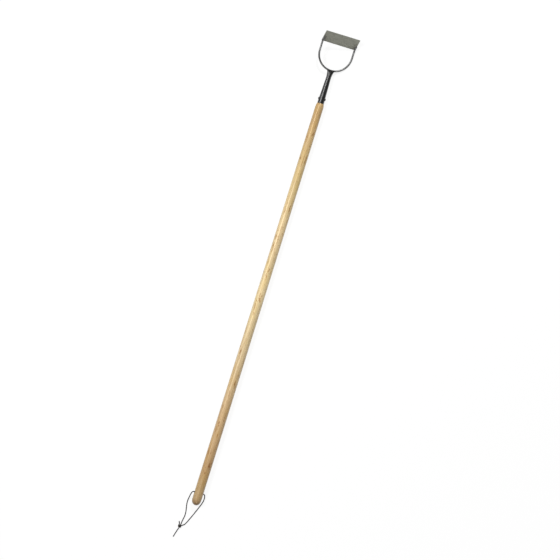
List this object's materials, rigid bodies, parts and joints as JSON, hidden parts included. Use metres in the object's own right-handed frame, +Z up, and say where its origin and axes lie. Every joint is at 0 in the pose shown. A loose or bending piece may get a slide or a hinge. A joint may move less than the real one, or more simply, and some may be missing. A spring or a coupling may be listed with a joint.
{
  "type": "stirrup hoe",
  "caption": "Long-handled push hoe: a flat steel blade held by a round-rod stirrup on a riveted black socket, with a turned ash handle and a leather hang cord through the butt.",
  "frame": {"origin": "on the floor, under the middle of the tool's own box (hang cord left out)", "axes": "+Y along the handle from the butt to the blade, +X to the right across the blade, +Z up off the floor that the tool lies on"},
  "size_m": [0.1286, 1.8228, 0.0657],
  "materials": {
    "ash_wood": "oiled ash, straight grain along the handle, satin",
    "socket_paint": "gloss black paint over forged steel",
    "rod_steel": "bare drawn rod, lacquered",
    "blade_steel": "bare rolled plate, ground, lacquered",
    "weld_steel": "weld bead, darkened by heat",
    "cord_leather": "round black-brown leather lace, matt"
  },
  "bodies": {
    "hoe": {"handle": "ash_wood", "socket": "socket_paint", "socket_rivet": "socket_paint", "crown_weld_top": "socket_paint", "crown_weld_bottom": "socket_paint", "bow": "rod_steel", "blade": "blade_steel", "blade_weld_left": "weld_steel", "blade_weld_right": "weld_steel"},
    "hang_cord": {"cord_in_hole": "cord_leather", "cord_left_leg": "cord_leather", "cord_right_leg": "cord_leather", "cord_knot": "cord_leather", "cord_long_tail": "cord_leather", "cord_short_tail": "cord_leather"}
  },
  "joints": [
    {"name": "hang_cord_swing", "type": "hinge", "parent": "hoe", "child": "hang_cord", "pos_m": [-0.00251, -0.80373, 0.01664], "axis": [-0.9659, 0.0004, 0.2588], "range_deg": [0, 110]}
  ]
}
